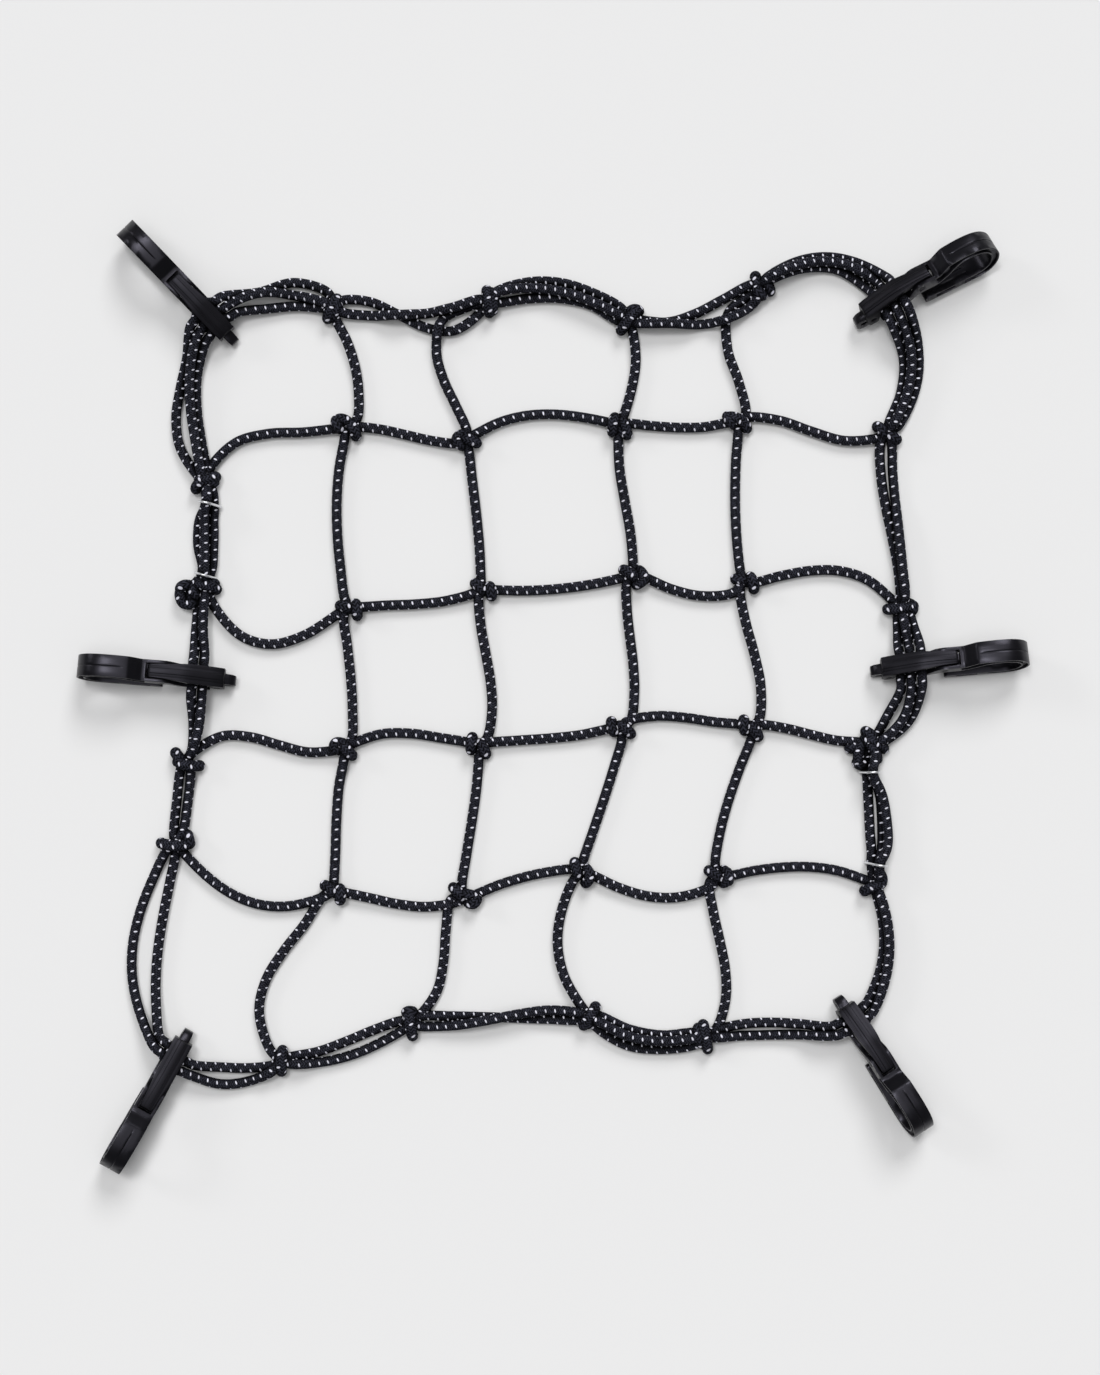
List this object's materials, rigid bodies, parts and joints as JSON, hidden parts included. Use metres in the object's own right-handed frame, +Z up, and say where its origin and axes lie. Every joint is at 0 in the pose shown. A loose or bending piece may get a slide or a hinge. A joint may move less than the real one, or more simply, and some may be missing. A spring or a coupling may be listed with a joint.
{
  "type": "luggage net",
  "caption": "Square net of black elastic cord with pale flecks, knotted at its crossings, with flat snap hooks round its border.",
  "frame": {"origin": "middle of the underside of the whole laid-out net with its hooks, on the surface it lies on", "axes": "+Z up from that surface, +X and +Y in its plane, +Y towards the edge with the hooks that face away at both corners, as laid out in the picture"},
  "size_m": [0.474, 0.4751, 0.0264],
  "materials": {
    "braided_cord": "black braided elastic cord with small pale flecks",
    "zinc_wire": "zinc-plated wire",
    "moulded_nylon": "black moulded nylon, softly glossy",
    "lever_nylon": "black moulded nylon, softly glossy, a little lighter"
  },
  "bodies": {
    "net_and_hooks": {"net": "braided_cord", "clip_left_top": "zinc_wire", "clip_left_low": "zinc_wire", "clip_right_top": "zinc_wire", "clip_right_low": "zinc_wire", "hook_top_left": "moulded_nylon", "hook_top_right": "moulded_nylon", "hook_left": "moulded_nylon", "hook_right": "moulded_nylon", "hook_bottom_left": "moulded_nylon", "hook_bottom_right": "moulded_nylon"},
    "latch_top_left": {"lever_top_left": "lever_nylon"},
    "latch_top_right": {"lever_top_right": "lever_nylon"},
    "latch_left": {"lever_left": "lever_nylon"},
    "latch_right": {"lever_right": "lever_nylon"},
    "latch_bottom_left": {"lever_bottom_left": "lever_nylon"},
    "latch_bottom_right": {"lever_bottom_right": "lever_nylon"}
  },
  "joints": [
    {"name": "latch_top_left_hinge", "type": "hinge", "parent": "net_and_hooks", "child": "latch_top_left", "pos_m": [-0.18357, 0.20293, 0.0146], "axis": [-0.7193, -0.6947, 0], "range_deg": [0, 90]},
    {"name": "latch_top_right_hinge", "type": "hinge", "parent": "net_and_hooks", "child": "latch_top_right", "pos_m": [0.18058, 0.20677, 0.01553], "axis": [-0.401, 0.8044, -0.4384], "range_deg": [0, 90]},
    {"name": "latch_left_hinge", "type": "hinge", "parent": "net_and_hooks", "child": "latch_left", "pos_m": [-0.19391, 0.01228, 0.01522], "axis": [-0.0777, -0.9872, 0.1392], "range_deg": [0, 90]},
    {"name": "latch_right_hinge", "type": "hinge", "parent": "net_and_hooks", "child": "latch_right", "pos_m": [0.19385, 0.01837, 0.0155], "axis": [-0.0846, 0.9666, -0.2419], "range_deg": [0, 90]},
    {"name": "latch_bottom_left_hinge", "type": "hinge", "parent": "net_and_hooks", "child": "latch_bottom_left", "pos_m": [-0.19895, -0.19794, 0.01509], "axis": [0.8569, -0.5048, -0.1045], "range_deg": [0, 90]},
    {"name": "latch_bottom_right_hinge", "type": "hinge", "parent": "net_and_hooks", "child": "latch_bottom_right", "pos_m": [0.16226, -0.17945, 0.01533], "axis": [0.8397, 0.5146, -0.1736], "range_deg": [0, 90]}
  ]
}
